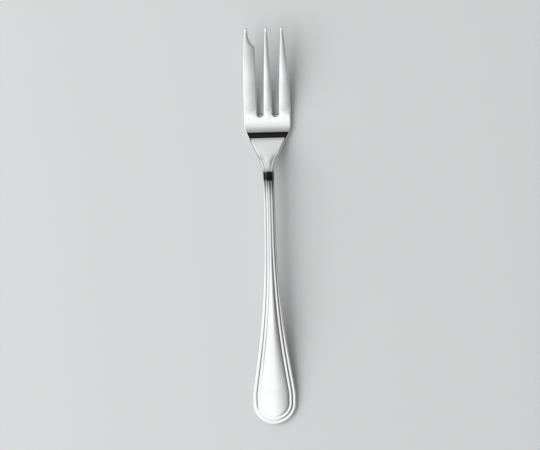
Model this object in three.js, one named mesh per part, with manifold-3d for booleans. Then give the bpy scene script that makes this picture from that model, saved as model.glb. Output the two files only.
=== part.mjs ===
// Cake fork: one stamping of stainless steel, in seven zones that meet face to face.
//
// The fork is drawn as a flat blank and then bent. On the blank x runs across, along runs
// from the round end of the handle to the tips, and height runs from the flat back to the face.
// The bend carries the back onto a side profile that lies on the table at the end of the
// handle and under the head. Millimetres, +Z up, tips towards +Y, face upwards.

import * as THREE from 'three';
import { mergeVertices } from 'three/addons/utils/BufferGeometryUtils.js';
import Module from 'manifold-3d';

// Handle: a round end, a short parallel stretch, then an S-shaped taper to the stem.
const HANDLE_WIDTH = 16.3;
const BROAD_LENGTH = 2.85;
const TAPER_LENGTH = 63.5;
const TAPER_LEAD_BROAD = 4.8;
const TAPER_LEAD_STEM = 34.3;

// Stem: nearly parallel, narrowest at the neck.
const STEM_WIDTH = 4.55;
const NECK_WIDTH = 4.4;
const STEM_LENGTH = 19.2;

// Shoulder: how straight its outline leaves the neck and reaches the head.
const FLARE_LEAD_NECK = 7;
const FLARE_LEAD_HEAD = 3;

// Head and tines: widths at the roots, with one slot width between neighbours.
const HEAD_LENGTH = 4.9;
const SLOT_WIDTH = 2.2;
const CUTTING_TINE_WIDTH = 5.3;
const MIDDLE_TINE_WIDTH = 3.6;
const OUTER_TINE_WIDTH = 4.6;
const CUTTING_TINE_LENGTH = 33.8;
const MIDDLE_TINE_LENGTH = 33.9;
const OUTER_TINE_LENGTH = 33.95;
const TIP_WIDTH = 1.15;

// How far each tip stands to the side of the middle of its root, towards the cutting edge.
const CUTTING_TIP_LEAN = 1;
const MIDDLE_TIP_LEAN = 0.1;
const OUTER_TIP_LEAN = 0.47;

// How late an edge turns in on its way to the tip, as a power: 1 is a straight line.
const CUTTING_SIDE_CURL = 3.5;
const OUTER_SIDE_CURL = 1.75;
const SLOT_CURL = 1.2;

// Notch of the cutting tine: a corner, then a hollow sweep to the slender tip.
const NOTCH_LENGTH = 7.5;
const NOTCH_KNEE_ALONG = 1.7;
const NOTCH_KNEE_SHY = 0.3;
const BLADE_EDGE_LEAN = 0.35;

// Thickness along the fork, and the rounding of every edge.
const HANDLE_END_THICKNESS = 1.4;
const HANDLE_THICKNESS = 2.4;
const NECK_THICKNESS = 3;
const HEAD_THICKNESS = 1.9;
const TIP_THICKNESS = 1.1;
const END_THINNING_LENGTH = 15;
const EDGE_RADIUS = 0.4;
const EDGE_SHARE_LIMIT = 0.9;
const TINE_CROWN = 0.12;
const TINE_CROWN_EASE_LENGTH = 7;

// The face is a little crowned where the fork is narrow, and flat where it is broad: its slope at
// the outline, and the widths at which it is whole and gone.
const FACE_CROWN_SLOPE = 0.042;
const CROWNED_WIDTH = 6.8;
const FLAT_WIDTH = 12.8;

// Border: an outer roll, then a higher inner roll, then the crowned panel, with a narrow groove
// before each step up. Drops are below the face of the plain blank where the border is broadest.
const BORDER_WIDTH_BROAD = 2.8;
const BORDER_WIDTH_STEM = 1.9;
const GROOVE_SHARE_BROAD = 0.54;
const GROOVE_SHARE_STEM = 0.45;
const OUTER_ROLL_FLAT_SHARE = 0.45;
const OUTER_ROLL_DROP = 0.3;
const GROOVE_DROP = 0.35;
const INNER_ROLL_DROP = 0.19;
const PANEL_GROOVE_DROP = 0.21;
const PANEL_RISE_LIMIT = 0.25;
const PANEL_CROWN_SHARE = 0.7;
const PANEL_LIP_WIDTH = 0.35;
const OUTER_ROLL_POWER = 6;
const INNER_ROLL_POWER = 2.6;
const BORDER_PAST_NECK = 9;
const BORDER_FADE_LENGTH = 3.5;

// Bends of the back: flat on the table at the end, up in a long arch to the stem, over the neck
// and down the shoulder, then up again under the head and the tines.
const REST_LENGTH = 5;
const REST_EASE_LENGTH = 12;
const HANDLE_RUN = 18;
const HANDLE_ARCH_LENGTH = 28;
const STEM_SLOPE_DEGREES = 0.6;
const NECK_EASE_LENGTH = 9;
const NECK_EASE_SLOPE_DEGREES = 3;
const NECK_BEND_LENGTH = 5.4;
const NECK_BEND_LEAD = 1.6;
const SHOULDER_RUN = 8.95;
const SHOULDER_SLOPE_DEGREES = 24;
const ROOT_BEND_LENGTH = 6.2;
const SHOULDER_PAST_BEND = 1.75;
const FOOT_SLOPE_DEGREES = 0.7;
const HEAD_SWEEP_LENGTH = 10;
const ROOT_SLOPE_DEGREES = 14.5;
const TINE_SWEEP_LENGTH = 28;
const TIP_SLOPE_DEGREES = 20;

// How finely curves are divided.
const TAPER_STEPS = 22;
const STEM_STEPS = 7;
const FLARE_STEPS = 22;
const HEAD_STEPS = 4;
const TINE_STEPS = 12;
const NOTCH_STEPS = 9;
const TIP_STEPS = 4;
const END_STEPS = 18;
const EDGE_STEPS = 3;
const OUTER_ROLL_STEPS = 3;
const INNER_ROLL_STEPS = 6;
const PANEL_STEPS = 5;
const SLOT_SIDES = 24;
const MERGE_DISTANCE = 1e-4;
const PROFILE_STEP = 0.05;
const MAX_HANDLE_SLOPE_DEGREES = 40;
const SLOPE_HALVINGS = 40;

const STEEL = { color: 0xc9cbcd, roughness: 0.12, metalness: 1 };

// Places along the blank.
const END_RADIUS = HANDLE_WIDTH / 2;
const TAPER_AT = END_RADIUS + BROAD_LENGTH;
const STEM_AT = TAPER_AT + TAPER_LENGTH;
const NECK_AT = STEM_AT + STEM_LENGTH;
const NECK_BEND_AT = NECK_AT - NECK_BEND_LEAD;
const ROOT_BEND_AT = NECK_BEND_AT + NECK_BEND_LENGTH + SHOULDER_RUN;
const HEAD_AT = ROOT_BEND_AT + ROOT_BEND_LENGTH + SHOULDER_PAST_BEND;
const TINES_AT = HEAD_AT + HEAD_LENGTH;
const LONGEST_TINE = Math.max(CUTTING_TINE_LENGTH, MIDDLE_TINE_LENGTH, OUTER_TINE_LENGTH);
const TIPS_AT = TINES_AT + LONGEST_TINE;

// Places across the roots, from the cutting edge at -X.
const HEAD_WIDTH = CUTTING_TINE_WIDTH + MIDDLE_TINE_WIDTH + OUTER_TINE_WIDTH + 2 * SLOT_WIDTH;
const CUTTING_LEFT = -HEAD_WIDTH / 2;
const MIDDLE_LEFT = CUTTING_LEFT + CUTTING_TINE_WIDTH + SLOT_WIDTH;
const OUTER_LEFT = MIDDLE_LEFT + MIDDLE_TINE_WIDTH + SLOT_WIDTH;

// A value that eases from one stage's end to the next, each stage being [length, end value].
function eased(start, stages, at) {
  let from = start;
  let begin = 0;
  for (const [length, to] of stages) {
    if (at < begin + length) {
      const t = Math.max(0, (at - begin) / length);
      return from + (to - from) * t * t * (3 - 2 * t);
    }
    begin += length;
    from = to;
  }
  return from;
}

function spread(from, to, steps) {
  return Array.from({ length: steps + 1 }, (_, i) => from + ((to - from) * i) / steps);
}

function thicknessAt(along) {
  return eased(HANDLE_END_THICKNESS, [
    [END_THINNING_LENGTH, HANDLE_THICKNESS],
    [NECK_BEND_AT - END_THINNING_LENGTH, NECK_THICKNESS],
    [HEAD_AT - NECK_BEND_AT, HEAD_THICKNESS],
    [TIPS_AT - HEAD_AT, TIP_THICKNESS],
  ], along);
}

// A measure of the border, from the broad end to the stem.
function alongBorder(broad, stem, along) {
  return eased(broad, [
    [TAPER_AT, broad],
    [TAPER_LENGTH, stem],
  ], along);
}

// Distances in from the outline of the border's inner edge and of the groove in it.
function borderPlaces(halfWidth, along) {
  const border = Math.min(alongBorder(BORDER_WIDTH_BROAD, BORDER_WIDTH_STEM, along), halfWidth);
  return [border, border * alongBorder(GROOVE_SHARE_BROAD, GROOVE_SHARE_STEM, along)];
}

// The border is stamped in full to just past the neck, and runs out on the shoulder.
function reliefAt(along) {
  return eased(1, [
    [NECK_AT + BORDER_PAST_NECK - BORDER_FADE_LENGTH, 1],
    [BORDER_FADE_LENGTH, 0],
  ], along);
}

// How far the stamped face lies under the plain blank's, at a distance in from the outline.
// A narrower border is shallower in the same measure.
function borderDrop(distance, halfWidth, along) {
  const [border, groove] = borderPlaces(halfWidth, along);
  const depth = reliefAt(along) * (border / BORDER_WIDTH_BROAD);
  if (distance < groove) {
    const flat = groove * OUTER_ROLL_FLAT_SHARE;
    const fall = Math.max(0, (distance - flat) / (groove - flat)) ** OUTER_ROLL_POWER;
    return depth * (OUTER_ROLL_DROP + (GROOVE_DROP - OUTER_ROLL_DROP) * fall);
  }
  if (distance < border) {
    const across = (2 * (distance - groove)) / (border - groove) - 1;
    const side = across < 0 ? GROOVE_DROP : PANEL_GROOVE_DROP;
    const fall = Math.abs(across) ** INNER_ROLL_POWER;
    return depth * (INNER_ROLL_DROP + (side - INNER_ROLL_DROP) * fall);
  }
  const panel = halfWidth - border;
  const fromAxis = (halfWidth - distance) / panel;
  const lip = fromAxis ** Math.max(2, panel / PANEL_LIP_WIDTH);
  const fall = PANEL_CROWN_SHARE * fromAxis * fromAxis + (1 - PANEL_CROWN_SHARE) * lip;
  const rise = Math.min(depth * PANEL_GROOVE_DROP, PANEL_RISE_LIMIT * panel);
  return depth * PANEL_GROOVE_DROP - rise * (1 - fall);
}

// How far the crown lifts the face, at a distance in from the outline.
function crownRise(distance, halfWidth) {
  const flat = eased(0, [[FLAT_WIDTH - CROWNED_WIDTH, 1]], 2 * halfWidth - CROWNED_WIDTH);
  const fromAxis = (halfWidth - distance) / halfWidth;
  return (1 - flat) * FACE_CROWN_SLOPE * (halfWidth / 2) * (1 - fromAxis * fromAxis);
}

// Quarter round at a corner, as [distance in from the outline, height below the face].
function edgeRound(radius) {
  return spread(0, Math.PI / 2, EDGE_STEPS).map((angle) => [
    radius * (1 - Math.sin(angle)),
    radius * (1 - Math.cos(angle)),
  ]);
}

// Half a section of the handle, stem, shoulder or head, as [distance from the axis, height],
// from the middle of the face, round the edge, to the middle of the back.
function halfSection(halfWidth, along) {
  const [border, groove] = borderPlaces(halfWidth, along);
  const panel = halfWidth - border;
  const thickness = thicknessAt(along);
  const faceAt = (distance) => (
    thickness - borderDrop(distance, halfWidth, along) + crownRise(distance, halfWidth)
  );
  const distances = [
    ...spread(1, 0, PANEL_STEPS).map((t) => border + panel * t * t),
    ...spread(border, groove, INNER_ROLL_STEPS).slice(1),
    ...spread(groove, EDGE_RADIUS, OUTER_ROLL_STEPS).slice(1, -1),
  ];
  const face = distances.map((d) => [halfWidth - d, faceAt(d)]);
  const corner = edgeRound(EDGE_RADIUS);
  const rim = faceAt(EDGE_RADIUS);
  const faceEdge = corner.map(([inwards, below]) => [halfWidth - inwards, rim - below]);
  const backEdge = corner.map(([inwards, below]) => [halfWidth - inwards, below]).reverse();
  return [...face, ...faceEdge, ...backEdge, [0, 0]];
}

// A whole section as a closed loop of points on the blank.
function bodyRing(halfWidth, along) {
  const half = halfSection(halfWidth, along);
  const right = half.map(([x, h]) => new THREE.Vector3(x, along, h));
  const left = half.slice(1, -1).map(([x, h]) => new THREE.Vector3(-x, along, h));
  return [...right, ...left.reverse()];
}

// Section of a tine between its two edges: rounded edges and a low crown.
function tineRing(left, right, along) {
  const halfWidth = (right - left) / 2;
  const middle = (right + left) / 2;
  const thickness = thicknessAt(along);
  const crown = eased(0, [[TINE_CROWN_EASE_LENGTH, TINE_CROWN]], along - TINES_AT);
  const most = EDGE_SHARE_LIMIT * Math.min(halfWidth, thickness / 2);
  const corner = edgeRound(Math.min(EDGE_RADIUS, most));
  const half = [
    [0, thickness + crown],
    ...corner.map(([inwards, below]) => [halfWidth - inwards, thickness - below]),
    ...corner.map(([inwards, below]) => [halfWidth - inwards, below]).reverse(),
    [0, 0],
  ];
  const near = half.map(([x, h]) => new THREE.Vector3(middle + x, along, h));
  const far = half.slice(1, -1).map(([x, h]) => new THREE.Vector3(middle - x, along, h));
  return [...near, ...far.reverse()];
}

// S-shaped outline that leaves one half-width and reaches the next parallel to the axis.
function flowingOutline(fromWidth, from, fromLead, toWidth, to, toLead, steps) {
  const curve = new THREE.CubicBezierCurve(
    new THREE.Vector2(fromWidth / 2, from),
    new THREE.Vector2(fromWidth / 2, from + fromLead),
    new THREE.Vector2(toWidth / 2, to - toLead),
    new THREE.Vector2(toWidth / 2, to),
  );
  return curve.getPoints(steps).map((p) => [p.x, p.y]);
}

// Closed geometry from strips of points and flat caps, its shared vertices merged.
function closedGeometry(strips, caps) {
  const corners = [];
  for (const rows of strips) {
    for (let i = 0; i + 1 < rows.length; i += 1) {
      for (let k = 0; k + 1 < rows[i].length; k += 1) {
        const [a, b, c, d] = [rows[i][k], rows[i][k + 1], rows[i + 1][k + 1], rows[i + 1][k]];
        corners.push(a, b, c, a, c, d);
      }
    }
  }
  for (const { loop, reversed } of caps) {
    const flat = loop.map((p) => new THREE.Vector2(p.x, p.z));
    const turned = THREE.ShapeUtils.isClockWise(flat) !== reversed;
    for (const triangle of THREE.ShapeUtils.triangulateShape(flat, [])) {
      const [a, b, c] = triangle.map((i) => loop[i]);
      corners.push(...(turned ? [a, c, b] : [a, b, c]));
    }
  }
  const geometry = new THREE.BufferGeometry().setFromPoints(corners);
  return dropCollapsed(mergeVertices(geometry, MERGE_DISTANCE));
}

// Triangles that close up to a line where ribs meet are left out.
function dropCollapsed(geometry) {
  const index = [];
  const all = geometry.index.array;
  for (let i = 0; i < all.length; i += 3) {
    const [a, b, c] = [all[i], all[i + 1], all[i + 2]];
    if (a !== b && b !== c && c !== a) {
      index.push(a, b, c);
    }
  }
  geometry.setIndex(index);
  return geometry;
}

// Solid through rings that all have the same number of points, capped at both ends.
function loft(rings) {
  const closed = rings.map((ring) => [...ring, ring[0]]);
  return closedGeometry([closed], [
    { loop: rings[0], reversed: true },
    { loop: rings.at(-1), reversed: false },
  ]);
}

const wasm = await Module();
wasm.setup();

function toSolid(geometry) {
  const vertProperties = new Float32Array(geometry.attributes.position.array);
  const triVerts = new Uint32Array(geometry.index.array);
  return new wasm.Manifold(new wasm.Mesh({ numProp: 3, vertProperties, triVerts }));
}

function fromSolid(solid) {
  const mesh = solid.getMesh();
  const geometry = new THREE.BufferGeometry();
  geometry.setAttribute('position', new THREE.BufferAttribute(mesh.vertProperties, 3));
  geometry.setIndex(new THREE.BufferAttribute(mesh.triVerts, 1));
  return geometry;
}

// The broad end is the half section at its widest, turned half a turn about the end's centre
// and thinned towards the rim.
function handleGeometry() {
  const taper = flowingOutline(
    HANDLE_WIDTH, TAPER_AT, TAPER_LEAD_BROAD, STEM_WIDTH, STEM_AT, TAPER_LEAD_STEM, TAPER_STEPS,
  );
  const stations = [[END_RADIUS, END_RADIUS], ...taper];
  const rib = (side) => ([halfWidth, along]) => (
    halfSection(halfWidth, along).map(([x, h]) => new THREE.Vector3(side * x, along, h))
  );
  const endRib = (angle) => {
    const c = Math.cos(angle);
    const s = Math.sin(angle);
    return halfSection(END_RADIUS, END_RADIUS).map(([r, h]) => {
      const along = END_RADIUS - r * s;
      const thinned = thicknessAt(along) / thicknessAt(END_RADIUS);
      return new THREE.Vector3(r * c, along, h * thinned);
    });
  };
  const right = stations.map(rib(1)).reverse();
  const end = spread(0, Math.PI, END_STEPS).slice(1, -1).map(endRib);
  const left = stations.map(rib(-1));
  const ribs = [...right, ...end, ...left];
  const [halfWidth, along] = stations.at(-1);
  return closedGeometry([ribs.reverse()], [{ loop: bodyRing(halfWidth, along), reversed: false }]);
}

function stemGeometry() {
  const rings = spread(0, 1, STEM_STEPS).map((t) => {
    const halfWidth = (STEM_WIDTH + (NECK_WIDTH - STEM_WIDTH) * t) / 2;
    return bodyRing(halfWidth, STEM_AT + STEM_LENGTH * t);
  });
  return loft(rings);
}

function shoulderGeometry() {
  const outline = flowingOutline(
    NECK_WIDTH, NECK_AT, FLARE_LEAD_NECK, HEAD_WIDTH, HEAD_AT, FLARE_LEAD_HEAD, FLARE_STEPS,
  );
  return loft(outline.map(([halfWidth, along]) => bodyRing(halfWidth, along)));
}

// The slots end in half rounds, pierced square through the head.
function headGeometry() {
  const rings = spread(HEAD_AT, TINES_AT, HEAD_STEPS).map((along) => bodyRing(HEAD_WIDTH / 2, along));
  let head = toSolid(loft(rings));
  for (const slotRight of [MIDDLE_LEFT, OUTER_LEFT]) {
    const radius = SLOT_WIDTH / 2;
    const punch = new THREE.CylinderGeometry(radius, radius, HEAD_WIDTH, SLOT_SIDES);
    punch.rotateX(Math.PI / 2);
    punch.translate(slotRight - radius, TINES_AT, 0);
    punch.deleteAttribute('normal');
    punch.deleteAttribute('uv');
    head = head.subtract(toSolid(mergeVertices(punch)));
  }
  return fromSolid(head);
}

// Edge of a tine from root to tip, as a place across for each place along.
function tineEdge(root, tip, curl, length) {
  return (along) => root + (tip - root) * ((along - TINES_AT) / length) ** curl;
}

// Rings of a rounded tip: the section narrows along a half round.
function tipRings(middle, centreAt) {
  const radius = TIP_WIDTH / 2;
  return spread(0, Math.PI / 2, TIP_STEPS).slice(1, -1).map((angle) => {
    const half = radius * Math.cos(angle);
    return tineRing(middle - half, middle + half, centreAt + radius * Math.sin(angle));
  });
}

function plainTine(left, width, length, lean, leftCurl, rightCurl) {
  const tip = left + width / 2 - lean;
  const straight = length - TIP_WIDTH / 2;
  const tipAt = TINES_AT + straight;
  const leftEdge = tineEdge(left, tip - TIP_WIDTH / 2, leftCurl, straight);
  const rightEdge = tineEdge(left + width, tip + TIP_WIDTH / 2, rightCurl, straight);
  const stations = spread(TINES_AT, tipAt, TINE_STEPS);
  const rings = stations.map((along) => tineRing(leftEdge(along), rightEdge(along), along));
  return loft([...rings, ...tipRings(tip, tipAt)]);
}

// The cutting tine keeps its width up to the notch, then sweeps in to a slender tip.
function cuttingTine() {
  const straight = CUTTING_TINE_LENGTH - TIP_WIDTH / 2;
  const tipAt = TINES_AT + straight;
  const cornerAt = TINES_AT + CUTTING_TINE_LENGTH - NOTCH_LENGTH;
  const tip = CUTTING_LEFT + CUTTING_TINE_WIDTH / 2 - CUTTING_TIP_LEAN;
  const tipRight = tip + TIP_WIDTH / 2;
  const rootRight = CUTTING_LEFT + CUTTING_TINE_WIDTH;
  const bladeEdge = tineEdge(rootRight, rootRight - BLADE_EDGE_LEAN, 1, cornerAt - TINES_AT);
  const blade = spread(TINES_AT, cornerAt, TINE_STEPS).map((at) => new THREE.Vector2(bladeEdge(at), at));
  const corner = blade.pop();
  const knee = new THREE.Vector2(tipRight + NOTCH_KNEE_SHY, cornerAt + NOTCH_KNEE_ALONG);
  const sweepEnd = new THREE.Vector2(tipRight, tipAt);
  const sweep = new THREE.QuadraticBezierCurve(corner, knee, sweepEnd).getPoints(NOTCH_STEPS);
  const leftEdge = tineEdge(CUTTING_LEFT, tip - TIP_WIDTH / 2, CUTTING_SIDE_CURL, straight);
  const rings = [...blade, ...sweep].map((inner) => tineRing(leftEdge(inner.y), inner.x, inner.y));
  return loft([...rings, ...tipRings(tip, tipAt)]);
}

// Slope of the back in radians, for a given slope of the handle.
function slopeStages(handleSlope) {
  const [stem, neck, shoulder, foot, root, tip] = [
    STEM_SLOPE_DEGREES,
    -NECK_EASE_SLOPE_DEGREES,
    -SHOULDER_SLOPE_DEGREES,
    -FOOT_SLOPE_DEGREES,
    ROOT_SLOPE_DEGREES,
    TIP_SLOPE_DEGREES,
  ].map((degrees) => THREE.MathUtils.degToRad(degrees));
  const archEnd = REST_LENGTH + REST_EASE_LENGTH + HANDLE_RUN + HANDLE_ARCH_LENGTH;
  return [
    [REST_LENGTH, 0],
    [REST_EASE_LENGTH, handleSlope],
    [HANDLE_RUN, handleSlope],
    [HANDLE_ARCH_LENGTH, stem],
    [NECK_BEND_AT - NECK_EASE_LENGTH - archEnd, stem],
    [NECK_EASE_LENGTH, neck],
    [NECK_BEND_LENGTH, shoulder],
    [SHOULDER_RUN, shoulder],
    [ROOT_BEND_LENGTH, foot],
    [HEAD_SWEEP_LENGTH, root],
    [TINE_SWEEP_LENGTH, tip],
  ];
}

// Points of the back at equal steps along it.
function backProfile(handleSlope) {
  const stages = slopeStages(handleSlope);
  const points = [{ y: 0, z: 0, slope: 0 }];
  for (let along = 0; along < TIPS_AT; along += PROFILE_STEP) {
    const last = points.at(-1);
    const middle = eased(0, stages, along + PROFILE_STEP / 2);
    points.push({
      y: last.y + PROFILE_STEP * Math.cos(middle),
      z: last.z + PROFILE_STEP * Math.sin(middle),
      slope: eased(0, stages, along + PROFILE_STEP),
    });
  }
  return points;
}

// The handle rises just so much that the back of the head comes down to the table again.
function restingProfile() {
  let low = 0;
  let high = THREE.MathUtils.degToRad(MAX_HANDLE_SLOPE_DEGREES);
  for (let i = 0; i < SLOPE_HALVINGS; i += 1) {
    const middle = (low + high) / 2;
    const underHead = backProfile(middle).slice(Math.floor(ROOT_BEND_AT / PROFILE_STEP));
    const lowest = Math.min(...underHead.map((p) => p.z));
    if (lowest < 0) {
      low = middle;
    } else {
      high = middle;
    }
  }
  return backProfile(high);
}

const PROFILE = restingProfile();

// Carries a geometry from the flat blank onto the side profile.
function bent(geometry) {
  const position = geometry.attributes.position;
  for (let i = 0; i < position.count; i += 1) {
    const step = Math.max(0, position.getY(i)) / PROFILE_STEP;
    const k = Math.min(Math.floor(step), PROFILE.length - 2);
    const [a, b, t] = [PROFILE[k], PROFILE[k + 1], step - k];
    const slope = a.slope + (b.slope - a.slope) * t;
    const height = position.getZ(i);
    const y = a.y + (b.y - a.y) * t - height * Math.sin(slope);
    const z = a.z + (b.z - a.z) * t + height * Math.cos(slope);
    position.setXYZ(i, position.getX(i), y, z);
  }
  geometry.computeVertexNormals();
  return geometry;
}

const zones = {
  cutting_tine: cuttingTine(),
  middle_tine: plainTine(
    MIDDLE_LEFT, MIDDLE_TINE_WIDTH, MIDDLE_TINE_LENGTH, MIDDLE_TIP_LEAN, SLOT_CURL, SLOT_CURL,
  ),
  outer_tine: plainTine(
    OUTER_LEFT, OUTER_TINE_WIDTH, OUTER_TINE_LENGTH, OUTER_TIP_LEAN, SLOT_CURL, OUTER_SIDE_CURL,
  ),
  head: headGeometry(),
  shoulder: shoulderGeometry(),
  stem: stemGeometry(),
  handle: handleGeometry(),
};

const fork = new THREE.Group();
fork.name = 'cake_fork';
const box = new THREE.Box3();
for (const [name, geometry] of Object.entries(zones)) {
  const mesh = new THREE.Mesh(bent(geometry), new THREE.MeshStandardMaterial(STEEL));
  mesh.name = name;
  fork.add(mesh);
  geometry.computeBoundingBox();
  box.union(geometry.boundingBox);
}

// The origin lies on the table, under the middle of the fork's length and width.
const centre = box.getCenter(new THREE.Vector3());
fork.position.set(-centre.x, -centre.y, -box.min.z);

export default fork;
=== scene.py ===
"""Cake fork: the looks of one polished steel stamping, in the seven zones of its solids.

The fork is worked out as a flat blank and then bent, as the solids are. On the blank x runs
across, v runs along from the round end of the handle to the tips, and h runs from the flat back
up to the face, all in millimetres. The bend carries the back onto the side profile, and the last
step turns millimetres into metres in the shared frame.
"""

import bpy
import numpy as np
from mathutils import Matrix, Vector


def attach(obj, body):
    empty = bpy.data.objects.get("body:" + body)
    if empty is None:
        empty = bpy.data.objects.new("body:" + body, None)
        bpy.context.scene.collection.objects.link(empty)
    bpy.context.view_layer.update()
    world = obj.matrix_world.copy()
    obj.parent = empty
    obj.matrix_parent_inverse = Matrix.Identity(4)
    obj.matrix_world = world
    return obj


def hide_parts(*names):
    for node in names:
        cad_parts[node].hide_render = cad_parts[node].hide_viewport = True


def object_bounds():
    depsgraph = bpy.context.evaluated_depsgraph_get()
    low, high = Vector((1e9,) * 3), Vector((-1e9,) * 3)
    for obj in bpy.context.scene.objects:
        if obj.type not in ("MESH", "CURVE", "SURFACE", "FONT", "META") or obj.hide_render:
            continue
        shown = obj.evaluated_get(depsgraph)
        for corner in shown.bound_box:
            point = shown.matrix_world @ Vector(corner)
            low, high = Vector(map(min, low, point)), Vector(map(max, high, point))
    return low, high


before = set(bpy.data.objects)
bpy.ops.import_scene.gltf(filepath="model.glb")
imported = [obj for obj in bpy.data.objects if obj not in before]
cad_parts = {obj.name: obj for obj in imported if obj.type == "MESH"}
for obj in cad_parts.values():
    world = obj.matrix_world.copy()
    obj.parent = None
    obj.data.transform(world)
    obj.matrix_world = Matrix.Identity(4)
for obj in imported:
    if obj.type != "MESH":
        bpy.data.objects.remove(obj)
CAD_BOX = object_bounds()

MM = 0.001

# Handle, stem and shoulder, as on the solids.
HANDLE_WIDTH = 16.3
BROAD_LENGTH = 2.85
TAPER_LENGTH = 63.5
TAPER_LEAD_BROAD = 4.8
TAPER_LEAD_STEM = 34.3
STEM_WIDTH = 4.55
NECK_WIDTH = 4.4
STEM_LENGTH = 19.2
FLARE_LEAD_NECK = 7.0
FLARE_LEAD_HEAD = 3.0

# Head and tines, as on the solids.
HEAD_LENGTH = 4.9
SLOT_WIDTH = 2.2
CUTTING_TINE_WIDTH = 5.3
MIDDLE_TINE_WIDTH = 3.6
OUTER_TINE_WIDTH = 4.6
CUTTING_TINE_LENGTH = 33.8
MIDDLE_TINE_LENGTH = 33.9
OUTER_TINE_LENGTH = 33.95
TIP_WIDTH = 1.15
CUTTING_TIP_LEAN = 1.0
MIDDLE_TIP_LEAN = 0.1
OUTER_TIP_LEAN = 0.47
CUTTING_SIDE_CURL = 3.5
OUTER_SIDE_CURL = 1.75
SLOT_CURL = 1.2
NOTCH_LENGTH = 7.5
NOTCH_KNEE_ALONG = 1.7
NOTCH_KNEE_SHY = 0.3
BLADE_EDGE_LEAN = 0.35

# Finer forms of the head and tines: the notch's corner is rounded, and the slots end flatter than on
# the solids, in a wider rim. TINE_FREE_LENGTH is how far up a tine its ribs turn square to its edges.
NOTCH_CORNER_ROUND = 0.35
SLOT_END_DEPTH = 0.65
SLOT_END_ROUNDING = 0.9
TINE_FREE_LENGTH = 7.0

# Thickness along the fork, as on the solids.
HANDLE_END_THICKNESS = 1.4
HANDLE_THICKNESS = 2.4
NECK_THICKNESS = 3.0
HEAD_THICKNESS = 1.9
TIP_THICKNESS = 1.1
END_THINNING_LENGTH = 15.0

# Rounding of the edges: wider by a share on the shoulder and before the tips, narrower on the noses.
# The two limits keep it within a share of the half-width where that is small.
EDGE_RADIUS = 0.4
EDGE_SHARE_LIMIT = 0.92
EDGE_DEPTH_LIMIT = 0.9
SHOULDER_EDGE_GAIN = 1.3
SHOULDER_EDGE_FROM = 6.0
SHOULDER_EDGE_EASE = 6.0
TIP_EDGE_GAIN = 0.5
TIP_EDGE_LENGTH = 5.0
TIP_EDGE_EASE = 2.5
NOSE_EDGE_LOSS = 0.9
NOSE_EDGE_LENGTH = 1.6
NOSE_EDGE_EASE = 0.8

# Crown of the tines, noses on their tips, and crown of the narrow part of the handle.
TINE_CROWN = 0.12
TINE_CROWN_AT_ROOT = 1.5
TINE_CROWN_EASE_LENGTH = 8.4
NOSE_SLOPE = 0.2
NOSE_LENGTH = 1.25
NOSE_EASE = 0.15
NOSE_CROWN_LOSS = 0.8
NOSE_CROWN_EASE = 0.6
FACE_CROWN_SLOPE = 0.042
CROWNED_WIDTH = 6.8
FLAT_WIDTH = 12.8

# Border: two rolls that step up to a crowned panel, with a narrow groove before each step. The panel
# is flatter on the stem than on the solids.
BORDER_WIDTH_BROAD = 2.8
BORDER_WIDTH_STEM = 1.9
GROOVE_SHARE_BROAD = 0.54
GROOVE_SHARE_STEM = 0.45
OUTER_ROLL_FLAT_SHARE = 0.45
OUTER_ROLL_DROP = 0.3
GROOVE_DROP = 0.35
INNER_ROLL_DROP = 0.19
PANEL_GROOVE_DROP = 0.21
PANEL_RISE_LIMIT = 0.25
PANEL_RISE_LIMIT_STEM = 0.11
PANEL_CROWN_SHARE = 0.7
PANEL_CROWN_SHARE_STEM = 0.35
PANEL_LIP_WIDTH = 0.35
NARROWEST_PANEL = 0.05
GROOVE_PAST_EDGE = 1.05
OUTER_ROLL_POWER = 6
INNER_ROLL_POWER = 2.6
BORDER_PAST_NECK = 9.0
BORDER_FADE_LENGTH = 3.5

# Wear of the border, finer than on the solids: the grooves are softer round the end, and the panel's
# groove also on the left of the broad end and on the right of the stem. The border lies further out on
# the right, and its outer groove further in on the left.
END_GROOVE_SOFTNESS = 0.85
PANEL_SOFT_FROM = 35.0
PANEL_SOFT_LENGTH = 20.0
STEM_PANEL_SOFTNESS = 0.8
STEM_SOFT_FROM = 50.0
STEM_SOFT_LENGTH = 20.0
RIGHT_BORDER_SHIFT = 0.28
LEFT_GROOVE_SHIFT = 0.12

# Dullness and painted shade of the grooves: half-width of the dull, darkened line in each, and the share in
# the panel's groove.
LEFT_GROOVE_DULL_SHADE_WIDTH = 0.18
RIGHT_GROOVE_DULL_SHADE_WIDTH = 0.21
PANEL_GROOVE_DULL_SHADE_WIDTH = 0.12
LEFT_PANEL_DULL_SHADE = 0.6
RIGHT_PANEL_DULL_SHADE = 0.4

# Bends of the back, as on the solids.
REST_LENGTH = 5.0
REST_EASE_LENGTH = 12.0
HANDLE_RUN = 18.0
HANDLE_ARCH_LENGTH = 28.0
STEM_SLOPE = np.radians(0.6)
NECK_EASE_LENGTH = 9.0
NECK_EASE_SLOPE = np.radians(3.0)
NECK_BEND_LENGTH = 5.4
NECK_BEND_LEAD = 1.6
SHOULDER_RUN = 8.95
SHOULDER_SLOPE = np.radians(24.0)
ROOT_BEND_LENGTH = 6.2
SHOULDER_PAST_BEND = 1.75
FOOT_SLOPE = np.radians(0.7)
HEAD_SWEEP_LENGTH = 10.0
ROOT_SLOPE = np.radians(14.5)
TINE_SWEEP_LENGTH = 28.0
TIP_SLOPE = np.radians(20.0)

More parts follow.
